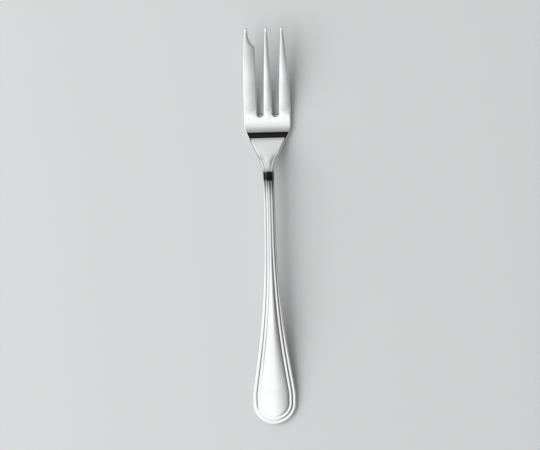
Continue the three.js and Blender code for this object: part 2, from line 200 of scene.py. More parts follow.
# Places along the blank and across the roots.
END_RADIUS = HANDLE_WIDTH / 2
TAPER_AT = END_RADIUS + BROAD_LENGTH
STEM_AT = TAPER_AT + TAPER_LENGTH
NECK_AT = STEM_AT + STEM_LENGTH
NECK_BEND_AT = NECK_AT - NECK_BEND_LEAD
ROOT_BEND_AT = NECK_BEND_AT + NECK_BEND_LENGTH + SHOULDER_RUN
HEAD_AT = ROOT_BEND_AT + ROOT_BEND_LENGTH + SHOULDER_PAST_BEND
TINES_AT = HEAD_AT + HEAD_LENGTH
TIPS_AT = TINES_AT + max(CUTTING_TINE_LENGTH, MIDDLE_TINE_LENGTH, OUTER_TINE_LENGTH)
HEAD_WIDTH = CUTTING_TINE_WIDTH + MIDDLE_TINE_WIDTH + OUTER_TINE_WIDTH + 2 * SLOT_WIDTH
CUTTING_LEFT = -HEAD_WIDTH / 2
MIDDLE_LEFT = CUTTING_LEFT + CUTTING_TINE_WIDTH + SLOT_WIDTH
OUTER_LEFT = MIDDLE_LEFT + MIDDLE_TINE_WIDTH + SLOT_WIDTH

# How finely the surface is divided round its girth. CROWDING draws cells towards a groove.
PANEL_CELLS = 14
INNER_ROLL_CELLS = 14
OUTER_ROLL_CELLS = 10
EDGE_CELLS = 8
WALL_CELLS = 3
BACK_CELLS = 16
CROWDING = 1.7

# How finely it is divided along the fork. The notch's corner and the start of its sweep have extra
# rows, from CORNER_BEFORE the corner to CORNER_PAST it, and on to SWEEP_PAST it.
END_ROWS = 40
BROAD_ROWS = 5
TAPER_ROWS = 120
STEM_ROWS = 48
SHOULDER_ROWS = 90
HEAD_ROWS = 20
TINE_ROWS = 96
TIP_ROWS = 14
CORNER_ROWS = 20
SWEEP_ROWS = 24
CORNER_BEFORE = 0.4
CORNER_PAST = 0.6
SWEEP_PAST = 3.0
SWEEP_POINTS = 400
WELD_DECIMALS = 5

# Working out the back profile.
PROFILE_POINTS = 6200
STEEPEST_HANDLE = np.radians(40.0)
SLOPE_HALVINGS = 40

# Camera: the fork's axis leans a little to the left of upright in the picture.
PICTURE_WIDTH = 204.2 * MM
PICTURE_CENTRE = (0.0, 0.36 * MM)
LENS = 500.0
SENSOR = 36.0
LEAN = np.radians(1.505)

# Floor, key lamp and sky, in metres and watts.
FLOOR_HALF = 3.0
FLOOR_GAP = 0.02 * MM
KEY_LEFT = 0.9
KEY_BACK = 0.1
KEY_HEIGHT = 0.75
KEY_WIDTH = 1.2
KEY_LENGTH = 1.6
KEY_WATTS = 16.0
SKY_STRENGTH = 1.2


def smooth(t):
    """Smooth step: t squared times (3 - 2t), with t held between 0 and 1."""
    t = np.clip(t, 0.0, 1.0)
    return t * t * (3 - 2 * t)


def eased(start, stages, at):
    """A value that goes through stages of [length, end value], each one a smooth step."""
    value, begin, before = start, 0.0, start
    for length, end in stages:
        value = value + (end - before) * smooth((at - begin) / length)
        begin = begin + length
        before = end
    return value


def thickness(v):
    """Thickness of the blank: thin at the end, thickest at the neck, thin again at the tips."""
    return eased(HANDLE_END_THICKNESS, [
        (END_THINNING_LENGTH, HANDLE_THICKNESS),
        (NECK_BEND_AT - END_THINNING_LENGTH, NECK_THICKNESS),
        (HEAD_AT - NECK_BEND_AT, HEAD_THICKNESS),
        (TIPS_AT - HEAD_AT, TIP_THICKNESS),
    ], v)


def along_border(broad, stem, v):
    """A measure of the border: one value round the end, easing to another on the stem."""
    return eased(broad, [(TAPER_AT, broad), (TAPER_LENGTH, stem)], v)


def relief(v):
    """Share of the border's depth: whole to just past the neck, running out on the shoulder."""
    return 1 - smooth((v - NECK_AT - BORDER_PAST_NECK + BORDER_FADE_LENGTH) / BORDER_FADE_LENGTH)


def slope(v, handle_slope):
    """Slope of the back: flat at the end, up the handle, level, down the shoulder, up to the tips."""
    arch_end = REST_LENGTH + REST_EASE_LENGTH + HANDLE_RUN + HANDLE_ARCH_LENGTH
    return eased(0.0, [
        (REST_LENGTH, 0.0),
        (REST_EASE_LENGTH, handle_slope),
        (HANDLE_RUN, handle_slope),
        (HANDLE_ARCH_LENGTH, STEM_SLOPE),
        (NECK_BEND_AT - NECK_EASE_LENGTH - arch_end, STEM_SLOPE),
        (NECK_EASE_LENGTH, -NECK_EASE_SLOPE),
        (NECK_BEND_LENGTH, -SHOULDER_SLOPE),
        (SHOULDER_RUN, -SHOULDER_SLOPE),
        (ROOT_BEND_LENGTH, -FOOT_SLOPE),
        (HEAD_SWEEP_LENGTH, ROOT_SLOPE),
        (TINE_SWEEP_LENGTH, TIP_SLOPE),
    ], v)


PROFILE_AT = np.linspace(0.0, TIPS_AT + 1.0, PROFILE_POINTS)


def back_profile(handle_slope):
    """Back of the bent fork: the running sums of the cosine and sine of its slope."""
    step = PROFILE_AT[1] - PROFILE_AT[0]
    middle = slope(PROFILE_AT[:-1] + step / 2, handle_slope)
    y = np.concatenate([[0.0], np.cumsum(step * np.cos(middle))])
    z = np.concatenate([[0.0], np.cumsum(step * np.sin(middle))])
    return y, z


def resting_slope():
    """Slope of the handle at which the back of the head just comes down to the table, by halving."""
    low, high = 0.0, STEEPEST_HANDLE
    under_head = PROFILE_AT > ROOT_BEND_AT
    for _ in range(SLOPE_HALVINGS):
        middle = (low + high) / 2
        if back_profile(middle)[1][under_head].min() < 0:
            low = middle
        else:
            high = middle
    return high


HANDLE_SLOPE = resting_slope()
PROFILE_Y, PROFILE_Z = back_profile(HANDLE_SLOPE)
PROFILE_SLOPE = slope(PROFILE_AT, HANDLE_SLOPE)
PROFILE_TURN = np.gradient(PROFILE_SLOPE, PROFILE_AT)


def bend(points):
    """Blank to frame: along the back profile, then out from it by h square to its slope."""
    x, v, h = points.T
    a = np.interp(v, PROFILE_AT, PROFILE_SLOPE)
    y = np.interp(v, PROFILE_AT, PROFILE_Y) - h * np.sin(a)
    z = np.interp(v, PROFILE_AT, PROFILE_Z) + h * np.cos(a)
    return np.stack([x, y, z], axis=1)


def bend_normals(points, normals):
    """Normals of the bent fork: the part along is divided by how far the bend stretches it."""
    v, h = points[:, 1], points[:, 2]
    a = np.interp(v, PROFILE_AT, PROFILE_SLOPE)
    stretch = 1 - h * np.interp(v, PROFILE_AT, PROFILE_TURN)
    along = normals[:, 1] / stretch
    up = normals[:, 2]
    y = along * np.cos(a) - up * np.sin(a)
    z = along * np.sin(a) + up * np.cos(a)
    bent = np.stack([normals[:, 0], y, z], axis=1)
    return bent / np.linalg.norm(bent, axis=1, keepdims=True)


def flowing_outline(width_a, at_a, lead_a, width_b, at_b, lead_b, rows):
    """S-shaped outline: a cubic that leaves one half-width and reaches the next along the axis."""
    t = np.linspace(0.0, 1.0, rows + 1)
    u = 1 - t
    half = (width_a * (u ** 3 + 3 * u * u * t) + width_b * (3 * u * t * t + t ** 3)) / 2
    v = u ** 3 * at_a + 3 * u * u * t * (at_a + lead_a) + 3 * u * t * t * (at_b - lead_b) + t ** 3 * at_b
    return half, v


def edge_width(v):
    """How far in from the outline the rounding reaches: the edge radius times a sum of smooth steps."""
    past_neck = smooth((v - NECK_AT - SHOULDER_EDGE_FROM) / SHOULDER_EDGE_EASE)
    on_shoulder = past_neck * (1 - smooth((v - ROOT_BEND_AT) / ROOT_BEND_LENGTH))
    at_tip = smooth((v - TIPS_AT + TIP_EDGE_LENGTH) / TIP_EDGE_EASE)
    on_nose = smooth((v - TIPS_AT + NOSE_EDGE_LENGTH) / NOSE_EDGE_EASE)
    gain = SHOULDER_EDGE_GAIN * on_shoulder + TIP_EDGE_GAIN * at_tip - NOSE_EDGE_LOSS * on_nose
    return EDGE_RADIUS * (1 + gain)


def border_drop(distance, width, border, groove, depth, soft, crown_share, rise_limit):
    """How far the face lies under the blank's top, at a distance in from the outline.

    The outer roll is flat and falls to its groove as a high power of the share of its inner part. The
    inner roll stands higher between the two grooves and falls off as a power to each side. The panel
    is a low crown, a square, with a lip at its rim that falls to the inner groove as a high power.
    Each groove is shallower where its own soft nears 1. The panel's top is the same whatever the soft,
    so that the two halves of the fork meet on the axis.
    """
    groove_drop = OUTER_ROLL_DROP + (GROOVE_DROP - OUTER_ROLL_DROP) * (1 - soft[0])
    panel_drop = INNER_ROLL_DROP + (PANEL_GROOVE_DROP - INNER_ROLL_DROP) * (1 - soft[1])
    flat = groove * OUTER_ROLL_FLAT_SHARE
    falling = np.clip((distance - flat) / (groove - flat), 0, 1) ** OUTER_ROLL_POWER
    outer = OUTER_ROLL_DROP + (groove_drop - OUTER_ROLL_DROP) * falling
    half = (border - groove) / 2
    across = np.clip((distance - groove - half) / half, -1, 1)
    side = np.where(across < 0, groove_drop, panel_drop)
    inner = INNER_ROLL_DROP + (side - INNER_ROLL_DROP) * np.abs(across) ** INNER_ROLL_POWER
    panel = np.maximum(width - border, NARROWEST_PANEL)
    from_axis = np.clip((width - distance) / panel, 0, 1)
    lip = from_axis ** np.maximum(panel / PANEL_LIP_WIDTH, 2)
    fall = crown_share * from_axis ** 2 + (1 - crown_share) * lip
    top = np.maximum(depth * PANEL_GROOVE_DROP - rise_limit, 0)
    centre = top + (depth * panel_drop - top) * fall
    return np.where(distance < groove, depth * outer, np.where(distance < border, depth * inner, centre))


def even(a, b, cells):
    """Distances from a to b in equal cells."""
    return a + (b - a) * np.linspace(0.0, 1.0, cells + 1)[None, :]


def close_to_ends(a, b, cells):
    """Distances from a to b in cells that are smaller at both ends: half a turn of a cosine."""
    return a + (b - a) * (1 - np.cos(np.linspace(0.0, np.pi, cells + 1)))[None, :] / 2


def close_to_start(a, b, cells):
    """Distances from a to b in cells that are smaller at a: a power of the even share."""
    return a + (b - a) * np.linspace(0.0, 1.0, cells + 1)[None, :] ** CROWDING


def ribs(outline, inward, spine, station, crown, soft=(0.0, 0.0), shift=(0.0, 0.0),
         dull_shade_width=RIGHT_GROOVE_DULL_SHADE_WIDTH, panel_dull_shade=RIGHT_PANEL_DULL_SHADE, nose=np.inf, rim=1.0):
    """Half sections of the fork as rows of (x, v, h), from the middle of the face round to the back.

    A rib starts on the spine, runs straight to where the edge rounding begins, goes round the edge
    as a quarter ellipse, down the wall, round the back edge and straight back to the spine. The
    face is the thickness less the border's relief, plus a crown that falls off as the square of the
    distance from the spine, and less a nose: a slope that starts as a hyperbola past a line across.
    The pairs soft and shift hold one value for the outer groove and one for the panel's groove, and rim
    widens and deepens the edge rounding. Also gives each point's dullness and painted shade, which falls
    off to both sides of the grooves as a bell curve.
    """
    width = np.linalg.norm(spine - outline, axis=1)[:, None]
    at = station[:, None]
    share = np.minimum(1.0, EDGE_DEPTH_LIMIT * width / EDGE_RADIUS)
    edge = np.minimum(edge_width(at) * share * rim, EDGE_SHARE_LIMIT * width)
    border = np.minimum(along_border(BORDER_WIDTH_BROAD, BORDER_WIDTH_STEM, at), width)
    groove = border * along_border(GROOVE_SHARE_BROAD, GROOVE_SHARE_STEM, at)
    depth = relief(at) * border / BORDER_WIDTH_BROAD
    crown_share = along_border(PANEL_CROWN_SHARE, PANEL_CROWN_SHARE_STEM, at)
    panel = np.maximum(width - border, NARROWEST_PANEL)
    rise_limit = panel * along_border(PANEL_RISE_LIMIT, PANEL_RISE_LIMIT_STEM, at)
    border = border + shift[1]
    groove = np.maximum(groove + shift[0], np.minimum(GROOVE_PAST_EDGE * edge, border))

    wave = np.concatenate([
        close_to_start(border, width, PANEL_CELLS)[:, ::-1],
        close_to_ends(border, groove, INNER_ROLL_CELLS)[:, 1:],
        close_to_start(groove, edge, OUTER_ROLL_CELLS)[:, 1:],
    ], axis=1)
    plain = even(width, edge, wave.shape[1] - 1)
    evenly = smooth((at - NECK_AT - BORDER_PAST_NECK) / (HEAD_AT - NECK_AT - BORDER_PAST_NECK))
    inner = wave + (plain - wave) * evenly
    turn = np.linspace(0.0, np.pi / 2, EDGE_CELLS + 1)[None, 1:]
    round_in = edge * (1 - np.sin(turn))
    face_in = np.concatenate([inner, round_in], axis=1)
    wall_in = np.zeros((len(width), WALL_CELLS - 1))
    back_in = np.concatenate([round_in[:, ::-1], even(edge, width, BACK_CELLS)], axis=1)

    def place(distance):
        """Points of the blank at a distance in: along inward to the rounding's end, then to the spine."""
        bare = outline + inward * edge
        inside = np.clip((distance - edge) / np.maximum(width - edge, 1e-9), 0, 1)[..., None]
        near = outline[:, None, :] + inward[:, None, :] * np.minimum(distance, edge)[..., None]
        return near + (spine - bare)[:, None, :] * inside

    face_at, wall_at, back_at = place(face_in), place(wall_in), place(back_in)
    drop = border_drop(face_in, width, border, groove, depth, soft, crown_share, rise_limit)
    off_spine = (width - face_in) / width
    rise = crown[:, None] * (1 - off_spine ** 2)
    past_nose = np.clip(face_at[..., 1] - nose, 0, 2 * NOSE_LENGTH)
    rise = rise - NOSE_SLOPE * (np.sqrt(past_nose ** 2 + NOSE_EASE ** 2) - NOSE_EASE)
    thin = thickness(face_at[..., 1]) / thickness(at)
    edge_depth = EDGE_RADIUS * share * rim

    def rounding(distance):
        """How far the rounded edge lies under the face: a quarter ellipse."""
        past = np.clip(1 - distance / edge, 0, 1)
        return edge_depth * (1 - np.sqrt(1 - past ** 2))

    face_h = (thickness(at) - drop - rounding(face_in)) * thin + rise
    back_h = rounding(back_in) * thickness(back_at[..., 1]) / thickness(at)
    wall_share = np.linspace(0, 1, WALL_CELLS + 1)[None, 1:-1]
    wall_h = face_h[:, -1:] + (back_h[:, :1] - face_h[:, -1:]) * wall_share
    flat = np.concatenate([face_at, wall_at, back_at], axis=1)
    height = np.concatenate([face_h, wall_h, back_h], axis=1)
    none = np.zeros((len(width), wall_h.shape[1] + back_h.shape[1]))
    # Painted shade with the dullness: a bell curve about each groove, which darkens the steel's colour
    # there and roughens it.
    in_groove = (1 - soft[0]) * np.exp(-((face_in - groove) / dull_shade_width) ** 2)
    at_panel = (1 - soft[1]) * np.exp(-((face_in - border) / PANEL_GROOVE_DULL_SHADE_WIDTH) ** 2)
    hollow = np.concatenate([depth * (in_groove + panel_dull_shade * at_panel), none], axis=1)
    return np.concatenate([flat, height[..., None]], axis=2), hollow


def mirrored(pair):
    """The same points on the other side of the axis."""
    return pair * np.array([-1.0, 1.0])


def body_strips():
    """Handle, stem and shoulder: ribs fanned round the end's centre, then straight across the axis.

    The grooves' softness round the end goes with the square of the ribs' lengthwise part on the right
    and as a smooth step of it on the left, and the border's shifts with the square of the part across.
    """
    fan = np.linspace(-np.pi / 2, 0.0, END_ROWS + 1)
    ray = np.stack([np.cos(fan), np.sin(fan)], axis=1)
    centre = np.array([0.0, END_RADIUS])
    end = (centre + END_RADIUS * ray, -ray, np.tile(centre, (len(fan), 1)), np.full(len(fan), END_RADIUS))
    broad = (np.full(BROAD_ROWS + 1, END_RADIUS), np.linspace(END_RADIUS, TAPER_AT, BROAD_ROWS + 1))
    taper = flowing_outline(
        HANDLE_WIDTH, TAPER_AT, TAPER_LEAD_BROAD, STEM_WIDTH, STEM_AT, TAPER_LEAD_STEM, TAPER_ROWS)
    stem_at = np.linspace(STEM_AT, NECK_AT, STEM_ROWS + 1)
    stem = (np.interp(stem_at, [STEM_AT, NECK_AT], [STEM_WIDTH / 2, NECK_WIDTH / 2]), stem_at)
    flare = flowing_outline(
        NECK_WIDTH, NECK_AT, FLARE_LEAD_NECK, HEAD_WIDTH, HEAD_AT, FLARE_LEAD_HEAD, SHOULDER_ROWS)

    def across(half, v):
        """Ribs square to the axis: outline, way in, spine and place along."""
        outline = np.stack([half, v], axis=1)
        return outline, np.tile([-1.0, 0.0], (len(v), 1)), outline * np.array([0.0, 1.0]), v

    strips = []
    for zone, part in (("handle", end), ("handle", across(*broad)), ("handle", across(*taper)),
                       ("stem", across(*stem)), ("shoulder", across(*flare))):
        outline, inward, spine, station = part
        half = np.linalg.norm(spine - outline, axis=1)
        flat = smooth((2 * half - CROWNED_WIDTH) / (FLAT_WIDTH - CROWNED_WIDTH))
        crown = (1 - flat) * FACE_CROWN_SLOPE * half / 2
        round_end = inward[:, 1:]
        worn = END_GROOVE_SOFTNESS * round_end ** 2
        sideways = inward[:, :1] ** 2
        shift = -RIGHT_BORDER_SHIFT * sideways
        stem_worn = STEM_PANEL_SOFTNESS * smooth((station[:, None] - STEM_SOFT_FROM) / STEM_SOFT_LENGTH)
        strips.append((zone, 1, *ribs(
            outline, inward, spine, station, crown,
            (worn, np.maximum(worn, stem_worn)), (shift, shift),
            RIGHT_GROOVE_DULL_SHADE_WIDTH, RIGHT_PANEL_DULL_SHADE)))
        worn = END_GROOVE_SOFTNESS * smooth(2 * round_end)
        panel_worn = END_GROOVE_SOFTNESS * smooth((PANEL_SOFT_FROM - station[:, None]) / PANEL_SOFT_LENGTH)
        strips.append((zone, -1, *ribs(
            mirrored(outline), mirrored(inward), mirrored(spine), station, crown,
            (worn, np.maximum(worn, panel_worn)), (LEFT_GROOVE_SHIFT * sideways, 0.0),
            LEFT_GROOVE_DULL_SHADE_WIDTH, LEFT_PANEL_DULL_SHADE)))
    return strips


def tine_crown(v):
    """Height of a tine's crown: it starts within the head and is whole a little way up the tine."""
    return TINE_CROWN * smooth((v - HEAD_AT - TINE_CROWN_AT_ROOT) / TINE_CROWN_EASE_LENGTH)


def head_strips():
    """Head: six strips between the outline and lines from the head's foot to the tines' middles.

    The slots end in half ellipses, whose rim is wider by the squared cosine of the turn from their foot.
    """
    foot = np.array([0.0, HEAD_AT])
    t = np.linspace(0.0, 1.0, HEAD_ROWS + 1)[:, None]
    lefts = (CUTTING_LEFT, MIDDLE_LEFT, OUTER_LEFT)
    widths = (CUTTING_TINE_WIDTH, MIDDLE_TINE_WIDTH, OUTER_TINE_WIDTH)
    slot_end = np.array([SLOT_WIDTH / 2, SLOT_END_DEPTH])
    turn = t[:, 0] * np.pi / 2
    strips = []
    for number, (left, width) in enumerate(zip(lefts, widths)):
        root = np.array([left + width / 2, TINES_AT])
        spine = foot + (root - foot) * t
        for side in (-1, 1):
            outer = (number == 0 and side < 0) or (number == 2 and side > 0)
            if outer:
                edge = np.array([side * HEAD_WIDTH / 2, 0.0])
                outline = edge + np.concatenate([np.zeros_like(t), HEAD_AT + HEAD_LENGTH * t], axis=1)
                inward = np.tile([-float(side), 0.0], (len(t), 1))
                rim = 1.0
            else:
                slot = np.array([left - slot_end[0] if side < 0 else left + width + slot_end[0], TINES_AT])
                turned = np.stack([-side * np.sin(turn), -np.cos(turn)], axis=1)
                outline = slot + slot_end * turned
                inward = turned / slot_end
                inward /= np.linalg.norm(inward, axis=1, keepdims=True)
                rim = 1 + SLOT_END_ROUNDING * np.cos(turn[:, None]) ** 2
            made = ribs(outline, inward, spine, spine[:, 1], tine_crown(spine[:, 1]), rim=rim)
            strips.append(("head", side, *made))
    return strips


def notch_edge(v):
    """Inner edge of the cutting tine: straight, a rounded corner, then a hollow sweep to the tip."""
    tip_at = TINES_AT + CUTTING_TINE_LENGTH - TIP_WIDTH / 2
    corner_at = TINES_AT + CUTTING_TINE_LENGTH - NOTCH_LENGTH
    tip_right = CUTTING_LEFT + CUTTING_TINE_WIDTH / 2 - CUTTING_TIP_LEAN + TIP_WIDTH / 2
    root_right = CUTTING_LEFT + CUTTING_TINE_WIDTH
    blade = root_right - BLADE_EDGE_LEAN * (v - TINES_AT) / (corner_at - TINES_AT)
    corner = root_right - BLADE_EDGE_LEAN
    knee = tip_right + NOTCH_KNEE_SHY
    span = np.linspace(0.0, 1.0, SWEEP_POINTS)
    sweep_v = corner_at + 2 * span * (1 - span) * NOTCH_KNEE_ALONG + span ** 2 * (tip_at - corner_at)
    sweep_x = (1 - span) ** 2 * corner + 2 * span * (1 - span) * knee + span ** 2 * tip_right
    before = (knee - corner) / NOTCH_KNEE_ALONG * (v - corner_at) + corner
    sweep = np.where(v < corner_at, before, np.interp(v, sweep_v, sweep_x))
    near = np.clip(1 - np.abs(blade - sweep) / NOTCH_CORNER_ROUND, 0, 1)
    return np.minimum(blade, sweep) - near ** 2 * NOTCH_CORNER_ROUND / 4


def tine_strips(zone, left_edge, right_edge, tip, tip_at, dense):
    """A tine: ribs from both edges to its middle line, then fanned round the centre of its tip."""
    v = np.unique(np.concatenate([np.linspace(TINES_AT, tip_at, TINE_ROWS + 1), dense]))
    left, right = left_edge(v), right_edge(v)
    spine = np.stack([(left + right) / 2, v], axis=1)
    centre = np.array([tip, tip_at])
    free = smooth((v - TINES_AT) / TINE_FREE_LENGTH)
    strips = []
    for side, edge in ((-1, left), (1, right)):
        lean = -side * np.gradient(edge, v) * free
        inward = np.stack([np.full(len(v), -float(side)), -lean], axis=1)
        inward /= np.linalg.norm(inward, axis=1, keepdims=True)
        start = np.arctan(lean[-1])
        fan = np.linspace(start, np.pi / 2, TIP_ROWS + 1)
        ray = np.stack([side * np.cos(fan), np.sin(fan)], axis=1)
        outline = np.concatenate([np.stack([edge, v], axis=1), centre + TIP_WIDTH / 2 * ray])
        inward = np.concatenate([inward, -ray])
        middle = np.concatenate([spine, np.tile(centre, (len(fan), 1))])
        nose = tip_at + TIP_WIDTH / 2 - NOSE_LENGTH
        along = middle[:, 1]
        on_nose = smooth((along - nose) / NOSE_CROWN_EASE + 0.5)
        crown = tine_crown(along) * (1 - NOSE_CROWN_LOSS * on_nose)
        strips.append((zone, side, *ribs(outline, inward, middle, along, crown, nose=nose)))
    return strips


def plain_tine(zone, left, width, length, lean, left_curl, right_curl):
    """A tine whose edges turn in as a power of the share of its length."""
    tip = left + width / 2 - lean
    straight = length - TIP_WIDTH / 2

    def edge(root, end, curl):
        """An edge from root to end: a power of the share of the length."""
        return lambda v: root + (end - root) * ((v - TINES_AT) / straight) ** curl

    left_edge = edge(left, tip - TIP_WIDTH / 2, left_curl)
    right_edge = edge(left + width, tip + TIP_WIDTH / 2, right_curl)
    return tine_strips(zone, left_edge, right_edge, tip, TINES_AT + straight, np.empty(0))


def cutting_tine():
    """The broad tine: its outer edge curls in late, its inner edge ends in the notch."""
    tip = CUTTING_LEFT + CUTTING_TINE_WIDTH / 2 - CUTTING_TIP_LEAN
    straight = CUTTING_TINE_LENGTH - TIP_WIDTH / 2
    corner_at = TINES_AT + CUTTING_TINE_LENGTH - NOTCH_LENGTH

    def outer(v):
        """Outer edge: a high power of the share of the length."""
        turn_in = tip - TIP_WIDTH / 2 - CUTTING_LEFT
        return CUTTING_LEFT + turn_in * ((v - TINES_AT) / straight) ** CUTTING_SIDE_CURL

    dense = corner_at + np.concatenate([
        np.linspace(-CORNER_BEFORE, CORNER_PAST, CORNER_ROWS + 1),
        np.linspace(CORNER_PAST, SWEEP_PAST, SWEEP_ROWS + 1),
    ])
    return tine_strips("cutting_tine", outer, notch_edge, tip, TINES_AT + straight, dense)


def weld(strips):
    """All strips as one surface: equal points become one. Gives each strip's rows as point numbers."""
    shapes = [rows.shape[:2] for _, _, rows, _ in strips]
    points = np.concatenate([rows.reshape(-1, 3) for _, _, rows, _ in strips])
    shades = np.concatenate([hollow.reshape(-1) for _, _, _, hollow in strips])
    rounded = np.round(points, WELD_DECIMALS)
    _, kept, same = np.unique(rounded, axis=0, return_index=True, return_inverse=True)
    ends = np.cumsum([count * girth for count, girth in shapes])
    numbers = [part.reshape(shape) for part, shape in zip(np.split(same.reshape(-1), ends[:-1]), shapes)]
    return points[kept], shades[kept], numbers


def strip_cells(number, side):
    """The four corners of each cell of a strip, in the order that faces outwards."""
    a, b, c, d = number[:-1, :-1], number[:-1, 1:], number[1:, 1:], number[1:, :-1]
    return np.stack([a, b, c, d] if side > 0 else [a, d, c, b], axis=-1).reshape(-1, 4)


def surface_normals(points, faces):
    """Normal at each point of the blank: the sum of the cross products of its cells' diagonals."""
    corner = points[faces]
    cross = np.cross(corner[:, 2] - corner[:, 0], corner[:, 3] - corner[:, 1])
    total = np.zeros_like(points)
    np.add.at(total, faces.reshape(-1), np.repeat(cross, 4, axis=0))
    return total / np.linalg.norm(total, axis=1, keepdims=True)


# For each zone, its flat caps: which row of the strips, and the strips on the right and the left.
CAPS = {
    "cutting_tine": [(0, 1, 0)],
    "middle_tine": [(0, 1, 0)],
    "outer_tine": [(0, 1, 0)],
    "head": [(0, 5, 0), (-1, 1, 0), (-1, 3, 2), (-1, 5, 4)],
    "shoulder": [(0, 0, 1), (-1, 0, 1)],
    "stem": [(0, 0, 1), (-1, 0, 1)],
    "handle": [(-1, 4, 5)],
}


def cap_ring(row, right, left):
    """Rim of a flat cap: down the right rib and up the left one, turned round at a zone's start."""
    ring = np.concatenate([right[row], left[row][-2:0:-1]])
    return ring if row else ring[::-1]


def zone_mesh(zone, points, normals, shades, cells, rings):
    """One zone as a closed mesh: its cells, and a flat cap on each plane where it meets the next."""
    used, local = np.unique(cells, return_inverse=True)
    local = local.reshape(-1, 4)
    caps = [np.searchsorted(used, ring).tolist() for ring in rings]
    following = np.roll(local, -1, axis=1)
    doubled = (local == following).any(axis=1)
    quads = local[~doubled]
    rest = local[doubled]
    keep = np.argsort(rest == np.roll(rest, -1, axis=1), axis=1, kind="stable")[:, :3]
    triangles = np.take_along_axis(rest, np.sort(keep, axis=1), axis=1)
    full = (triangles != np.roll(triangles, -1, axis=1)).all(axis=1)
    faces = quads.tolist() + triangles[full].tolist() + caps
    mesh = bpy.data.meshes.new(zone + "_steel")
    mesh.from_pydata(points[used].tolist(), [], faces)
    mesh.polygons.foreach_set("use_smooth", np.ones(len(faces), bool))
    corners = np.empty(len(mesh.loops), np.int32)
    mesh.loops.foreach_get("vertex_index", corners)
    split = normals[used][corners]
    end = len(corners)
    for cap in reversed(caps):
        ring = points[used][cap]
        ring = ring - ring.mean(axis=0)
        square = np.cross(ring, np.roll(ring, -1, axis=0)).sum(axis=0)
        split[end - len(cap):end] = square / np.linalg.norm(square)
        end -= len(cap)
    mesh.normals_split_custom_set(split.tolist())
    # The hollow attribute carries the grooves' dullness and painted shade to the material.
    hollow = mesh.attributes.new("hollow", "FLOAT", "POINT")
    hollow.data.foreach_set("value", shades[used].astype(np.float32))
    mesh.validate(clean_customdata=False)
    mesh.update()
    return mesh


def link(tree, source, target):
    """Joins an output socket to an input socket."""
    tree.links.new(source, target)


def ramp(node, stops):
    """Fills a colour ramp with grey stops of (place, level)."""
    band = node.color_ramp
    while len(band.elements) > 1:
        band.elements.remove(band.elements[-1])
    band.elements[0].position = stops[0][0]
    band.elements[0].color = (stops[0][1],) * 3 + (1.0,)
    for place, level in stops[1:]:
        band.elements.new(place).color = (level,) * 3 + (1.0,)


def polished_steel():
    """Polished steel: fine lengthwise polishing lines, cloudy gloss, grooves that are duller and darkened
    with painted shade.
    """
    material = bpy.data.materials.new("polished_steel")
    material.use_nodes = True
    tree = material.node_tree
    shader = tree.nodes["Principled BSDF"]
    shader.inputs["Metallic"].default_value = 1.0
    shader.inputs["IOR"].default_value = 2.5
    place = tree.nodes.new("ShaderNodeTexCoord")
    hollow = tree.nodes.new("ShaderNodeAttribute")
    hollow.attribute_name = "hollow"

    along = tree.nodes.new("ShaderNodeMapping")
    along.inputs["Scale"].default_value = (6000.0, 90.0, 2500.0)
    link(tree, place.outputs["Object"], along.inputs["Vector"])
    lines = tree.nodes.new("ShaderNodeTexNoise")
    lines.inputs["Scale"].default_value = 1.0
    lines.inputs["Detail"].default_value = 3.0
    lines.inputs["Roughness"].default_value = 0.6
    link(tree, along.outputs["Vector"], lines.inputs["Vector"])

    clouds = tree.nodes.new("ShaderNodeTexNoise")
    clouds.inputs["Scale"].default_value = 160.0
    clouds.inputs["Detail"].default_value = 4.0
    link(tree, place.outputs["Object"], clouds.inputs["Vector"])

    gloss = tree.nodes.new("ShaderNodeMapRange")
    gloss.inputs["From Min"].default_value = 0.3
    gloss.inputs["From Max"].default_value = 0.7
    gloss.inputs["To Min"].default_value = 0.04
    gloss.inputs["To Max"].default_value = 0.075
    link(tree, clouds.outputs["Fac"], gloss.inputs["Value"])
    streaks = tree.nodes.new("ShaderNodeMath")
    streaks.operation = "MULTIPLY_ADD"
    streaks.inputs[1].default_value = 0.02
    link(tree, lines.outputs["Fac"], streaks.inputs[0])
    link(tree, gloss.outputs["Result"], streaks.inputs[2])
    dull = tree.nodes.new("ShaderNodeMath")
    dull.operation = "MULTIPLY_ADD"
    dull.inputs[1].default_value = 0.04
    link(tree, hollow.outputs["Fac"], dull.inputs[0])
    link(tree, streaks.outputs["Value"], dull.inputs[2])
    link(tree, dull.outputs["Value"], shader.inputs["Roughness"])

    # Painted shade: the colour goes towards dark grey in the grooves, by the hollow attribute.
    painted_groove_shade = tree.nodes.new("ShaderNodeMixRGB")
    painted_groove_shade.inputs["Color1"].default_value = (0.80, 0.805, 0.81, 1.0)
    painted_groove_shade.inputs["Color2"].default_value = (0.38, 0.38, 0.376, 1.0)
    link(tree, hollow.outputs["Fac"], painted_groove_shade.inputs["Fac"])
    link(tree, painted_groove_shade.outputs["Color"], shader.inputs["Base Color"])

    bump = tree.nodes.new("ShaderNodeBump")
    bump.inputs["Strength"].default_value = 0.12
    bump.inputs["Distance"].default_value = 0.00001
    link(tree, lines.outputs["Fac"], bump.inputs["Height"])
    link(tree, bump.outputs["Normal"], shader.inputs["Normal"])
    return material


def pale_floor():
    """A plain pale floor: one square just under the fork."""
    corners = np.array([[-1.0, -1.0], [1.0, -1.0], [1.0, 1.0], [-1.0, 1.0]]) * FLOOR_HALF
    level = np.full((len(corners), 1), -FLOOR_GAP)
    mesh = bpy.data.meshes.new("floor")
    mesh.from_pydata(np.concatenate([corners, level], axis=1).tolist(), [], [[0, 1, 2, 3]])
    material = bpy.data.materials.new("pale_floor")
    material.use_nodes = True
    shader = material.node_tree.nodes["Principled BSDF"]
    shader.inputs["Base Color"].default_value = (0.60, 0.605, 0.61, 1.0)
    shader.inputs["Roughness"].default_value = 0.7
    mesh.materials.append(material)
    floor = bpy.data.objects.new("floor", mesh)
    bpy.context.scene.collection.objects.link(floor)


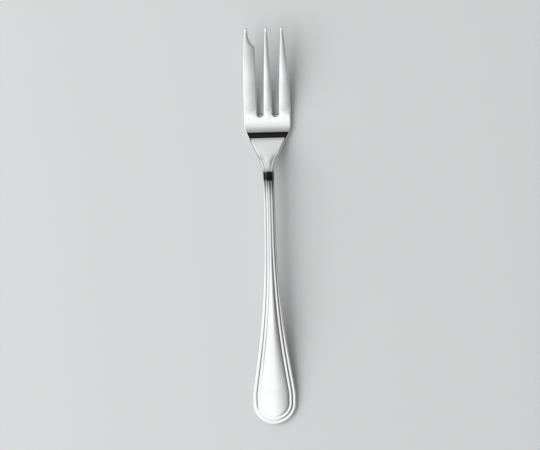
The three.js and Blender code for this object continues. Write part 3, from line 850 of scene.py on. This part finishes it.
def by_angle(tree, angle, stops):
    """A level by an angle: a ramp through stops of (degrees, level), from -90 to 90 degrees."""
    share = tree.nodes.new("ShaderNodeMapRange")
    share.inputs["From Min"].default_value = -np.pi / 2
    share.inputs["From Max"].default_value = np.pi / 2
    link(tree, angle, share.inputs["Value"])
    level = tree.nodes.new("ShaderNodeValToRGB")
    ramp(level, [((degrees + 90) / 180, value) for degrees, value in stops])
    link(tree, share.outputs["Result"], level.inputs["Fac"])
    return level.outputs["Color"]


def blend(tree, first, second, angle, start, end):
    """One level going over into another, as a smooth step between two angles in degrees."""
    share = tree.nodes.new("ShaderNodeMapRange")
    share.interpolation_type = "SMOOTHSTEP"
    share.inputs["From Min"].default_value = np.radians(start)
    share.inputs["From Max"].default_value = np.radians(end)
    link(tree, angle, share.inputs["Value"])
    mixed = tree.nodes.new("ShaderNodeMixRGB")
    link(tree, share.outputs["Result"], mixed.inputs["Fac"])
    link(tree, first, mixed.inputs["Color1"])
    link(tree, second, mixed.inputs["Color2"])
    return mixed.outputs["Color"]


def lengthwise_level(tree, towards_tips, to_right):
    """Sky from the handle's end to the tips: bright overhead, with a dark strip beyond the tips.

    The angle is minus towards the handle's end. Straight overhead the light falls off later than at
    the sides, on the left it ends sharply, and far out to both sides the strip is paler.
    """
    handle_side = [
        (-90, 0.50), (-60, 0.55), (-40, 0.62), (-37, 0.51), (-33.5, 0.54), (-30.8, 0.62), (-28.5, 0.69),
        (-27.2, 0.67), (-26.5, 0.60), (-23.5, 0.76), (-21.4, 0.90), (-19.8, 0.98),
    ]
    dark_strip = [(13, 0.008), (17, 0.02), (24, 0.02), (28, 0.008), (33, 0.01)]
    tips_side = [(36, 0.42), (42, 0.50), (48, 0.61), (58, 0.72), (90, 0.60)]
    straight = by_angle(tree, towards_tips, handle_side + [
        (-17, 1.0), (-8, 0.98), (-5.1, 0.96), (-2.5, 0.87), (-0.1, 0.77), (2.4, 0.60), (4.2, 0.42),
        (5.8, 0.40), (7.2, 0.01),
    ] + dark_strip + tips_side)
    beside = by_angle(tree, towards_tips, handle_side + [
        (-17, 1.0), (-8, 0.98), (-5.5, 0.95), (-3.8, 0.84), (-2.2, 0.73), (0, 0.62), (4, 0.34),
        (5.5, 0.16), (7, 0.01),
    ] + dark_strip + tips_side)
    to_left = by_angle(tree, towards_tips, handle_side + [(4.5, 0.98), (7, 0.02)] + dark_strip + tips_side)
    far_left = by_angle(tree, towards_tips, [
        (-90, 0.50), (-60, 0.60), (-38, 0.75), (-16, 1.05), (4.5, 0.98), (9, 0.16), (22, 0.16), (30, 0.75),
        (48, 0.80), (90, 0.60),
    ])
    far_right = by_angle(tree, towards_tips, [
        (-90, 0.50), (-60, 0.60), (-20, 0.75), (3, 0.60), (9, 0.50), (28, 0.55), (40, 0.65), (90, 0.60),
    ])
    aside = tree.nodes.new("ShaderNodeMath")
    aside.operation = "ABSOLUTE"
    link(tree, to_right, aside.inputs[0])
    level = blend(tree, straight, beside, aside.outputs["Value"], 1.5, 4.0)
    level = blend(tree, to_left, level, to_right, -8.0, -2.0)
    level = blend(tree, far_left, level, to_right, -38.0, -26.0)
    return blend(tree, level, far_right, to_right, 30.0, 42.0)


def crosswise_level(tree, towards_tips, to_right):
    """Sky from left to right: bright on the left, dark on the right. The angle is minus to the left.

    It is brightest beyond the handle's end and evenest beyond the tips.
    """
    right_horizon = [(62, 0.60), (84, 0.62), (90, 0.40)]
    overhead = by_angle(tree, to_right, [
        (-90, 0.60), (-84, 0.85), (-60, 0.95), (-40, 1.07), (-8, 1.07), (0, 1.04), (1.4, 0.91), (3.9, 0.60),
        (6, 0.42), (8, 0.33), (14, 0.20), (26, 0.13), (36, 0.14), (46, 0.36),
    ] + right_horizon)
    beyond_tips = by_angle(tree, to_right, [
        (-90, 0.60), (-84, 1.3), (-20, 1.3), (-8, 1.15), (-4, 1.08), (0, 1.0), (4, 0.86), (8, 0.75),
        (20, 0.55), (36, 0.38),
    ] + right_horizon)
    beyond_handle = by_angle(tree, to_right, [
        (-90, 0.70), (-84, 0.85), (-60, 1.0), (-40, 1.3), (-25, 1.6), (-16, 1.65), (-8, 1.47), (-5, 1.36),
        (-2.5, 1.22), (0, 1.07), (3, 0.95), (6, 0.79), (9, 0.68), (14, 0.57), (20, 0.45), (30, 0.27),
        (40, 0.20),
    ] + right_horizon)
    level = blend(tree, beyond_handle, overhead, towards_tips, -24.0, -20.5)
    return blend(tree, level, beyond_tips, towards_tips, 15.0, 36.0)


def studio_sky():
    """Soft light from all round: the lengthwise level of the sky times the crosswise one."""
    world = bpy.data.worlds.new("studio")
    bpy.context.scene.world = world
    world.use_nodes = True
    tree = world.node_tree
    sky = tree.nodes["Background"]
    place = tree.nodes.new("ShaderNodeTexCoord")
    parts = tree.nodes.new("ShaderNodeSeparateXYZ")
    link(tree, place.outputs["Generated"], parts.inputs["Vector"])
    towards_tips = tree.nodes.new("ShaderNodeMath")
    towards_tips.operation = "ARCSINE"
    link(tree, parts.outputs["Y"], towards_tips.inputs[0])
    to_right = tree.nodes.new("ShaderNodeMath")
    to_right.operation = "ARCTAN2"
    link(tree, parts.outputs["X"], to_right.inputs[0])
    link(tree, parts.outputs["Z"], to_right.inputs[1])
    angles = (towards_tips.outputs["Value"], to_right.outputs["Value"])
    level = tree.nodes.new("ShaderNodeMixRGB")
    level.blend_type = "MULTIPLY"
    level.inputs["Fac"].default_value = 1.0
    link(tree, lengthwise_level(tree, *angles), level.inputs["Color1"])
    link(tree, crosswise_level(tree, *angles), level.inputs["Color2"])
    link(tree, level.outputs["Color"], sky.inputs["Color"])
    sky.inputs["Strength"].default_value = SKY_STRENGTH


def key_lamp():
    """A soft lamp on the left, which gives the shadow and isn't mirrored in the steel."""
    lamp = bpy.data.lights.new("key", "AREA")
    lamp.shape = "RECTANGLE"
    lamp.size = KEY_WIDTH
    lamp.size_y = KEY_LENGTH
    lamp.energy = KEY_WATTS
    key = bpy.data.objects.new("key", lamp)
    key.location = (-KEY_LEFT, -KEY_BACK, KEY_HEIGHT)
    key.visible_glossy = False
    key.rotation_euler = (0.0, -np.arctan2(KEY_LEFT, KEY_HEIGHT), 0.0)
    bpy.context.scene.collection.objects.link(key)


def camera():
    """Camera straight above the fork, turned so that the fork leans as in the photograph."""
    lens = bpy.data.cameras.new("camera")
    lens.sensor_width = SENSOR
    lens.lens = LENS
    lens.clip_end = 100.0
    view = bpy.data.objects.new("camera", lens)
    view.location = (*PICTURE_CENTRE, PICTURE_WIDTH * LENS / SENSOR)
    view.rotation_euler = (0.0, 0.0, -LEAN)
    bpy.context.scene.collection.objects.link(view)
    bpy.context.scene.camera = view


strips = body_strips() + head_strips() + cutting_tine()
strips += plain_tine("middle_tine", MIDDLE_LEFT, MIDDLE_TINE_WIDTH, MIDDLE_TINE_LENGTH,
                     MIDDLE_TIP_LEAN, SLOT_CURL, SLOT_CURL)
strips += plain_tine("outer_tine", OUTER_LEFT, OUTER_TINE_WIDTH, OUTER_TINE_LENGTH,
                     OUTER_TIP_LEAN, SLOT_CURL, OUTER_SIDE_CURL)
blank, shades, numbers = weld(strips)
cells = [strip_cells(number, strip[1]) for strip, number in zip(strips, numbers)]
normals = bend_normals(blank, surface_normals(blank, np.concatenate(cells)))
points = bend(blank)
points[:, 1] += CAD_BOX[0].y / MM - points[:, 1].min()
points *= MM
steel = polished_steel()
for zone in CAPS:
    own = [k for k, strip in enumerate(strips) if strip[0] == zone]
    rings = [cap_ring(row, numbers[own[right]], numbers[own[left]]) for row, right, left in CAPS[zone]]
    mesh = zone_mesh(zone, points, normals, shades, np.concatenate([cells[k] for k in own]), rings)
    mesh.materials.append(steel)
    piece = bpy.data.objects.new(zone + "_steel", mesh)
    bpy.context.scene.collection.objects.link(piece)
    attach(piece, "root")
    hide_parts(zone)

pale_floor()
studio_sky()
key_lamp()
camera()
bpy.context.scene.view_settings.view_transform = "Standard"
